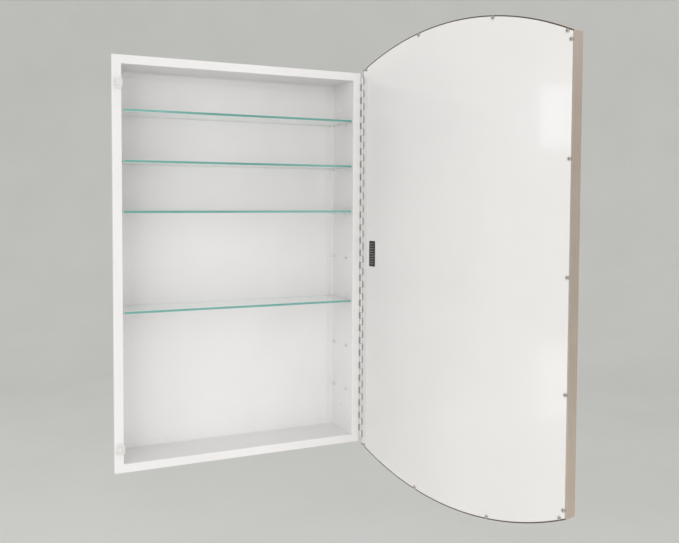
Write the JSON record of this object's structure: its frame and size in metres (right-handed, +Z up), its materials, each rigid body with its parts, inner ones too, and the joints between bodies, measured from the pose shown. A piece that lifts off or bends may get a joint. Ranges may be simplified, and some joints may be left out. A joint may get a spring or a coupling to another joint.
{
  "type": "recessed medicine cabinet with mirror door",
  "caption": "Recessed steel medicine cabinet with an arched, framed mirror door on a continuous side hinge and glass shelves on lanced tabs.",
  "frame": {"origin": "centre of the back panel's rear face, at mid-height and mid-width of the cabinet", "axes": "+Z up along the height; +Y into the wall, out of the back panel's rear face; +X to the right seen from the room, towards the hinge"},
  "size_m": [0.618, 0.5832, 0.867],
  "materials": {
    "white_enamel": "white baked enamel, semi-gloss",
    "hinge_white": "white painted steel hinge",
    "bumper_clear": "milky clear soft pad",
    "shelf_glass": "clear float glass with green edges",
    "satin_nickel": "satin nickel tone, brushed lengthwise",
    "mirror_silver": "silvered, bevelled",
    "core_board": "plain fibreboard",
    "door_white": "glossy white sheet",
    "screw_steel": "zinc-plated",
    "black_pad": "black, ridged",
    "magnet": "dark ferrite",
    "bracket_steel": "plain steel strip"
  },
  "bodies": {
    "cabinet": {"side_wall_left": "white_enamel", "side_wall_right": "white_enamel", "top_wall": "white_enamel", "bottom_wall": "white_enamel", "back_panel": "white_enamel", "bumper_upper": "bumper_clear", "bumper_lower": "bumper_clear", "hinge_leaf_cabinet": "hinge_white", "hinge_pin": "hinge_white"},
    "door": {"frame_stile_hinge": "satin_nickel", "frame_stile_free": "satin_nickel", "frame_rail_top": "satin_nickel", "frame_rail_bottom": "satin_nickel", "mirror_glass": "mirror_silver", "core_board": "core_board", "door_back_sheet": "door_white", "back_sheet_screws": "screw_steel", "hinge_leaf_door": "hinge_white", "hinge_rivets": "hinge_white", "magnet_upper": "magnet", "magnet_lower": "magnet", "black_ridged_pad": "black_pad", "corner_bracket_hinge_top": "bracket_steel", "corner_bracket_hinge_bottom": "bracket_steel", "corner_bracket_free_top": "bracket_steel", "corner_bracket_free_bottom": "bracket_steel"},
    "shelf_1": {"glass_shelf_1": "shelf_glass"},
    "shelf_2": {"glass_shelf_2": "shelf_glass"},
    "shelf_3": {"glass_shelf_3": "shelf_glass"},
    "shelf_4": {"glass_shelf_4": "shelf_glass"}
  },
  "joints": [
    {"name": "door_hinge", "type": "hinge", "parent": "cabinet", "child": "door", "pos_m": [0.247, -0.0978, 0], "axis": [0, 0, 1], "range_deg": [-101.8, 6.2]},
    {"name": "shelf_1_lift", "type": "slide", "parent": "cabinet", "child": "shelf_1", "axis": [0, 0, 1], "range_m": [0, 0.02]},
    {"name": "shelf_2_lift", "type": "slide", "parent": "cabinet", "child": "shelf_2", "axis": [0, 0, 1], "range_m": [0, 0.02]},
    {"name": "shelf_3_lift", "type": "slide", "parent": "cabinet", "child": "shelf_3", "axis": [0, 0, 1], "range_m": [0, 0.02]},
    {"name": "shelf_4_lift", "type": "slide", "parent": "cabinet", "child": "shelf_4", "axis": [0, 0, 1], "range_m": [0, 0.02]}
  ]
}
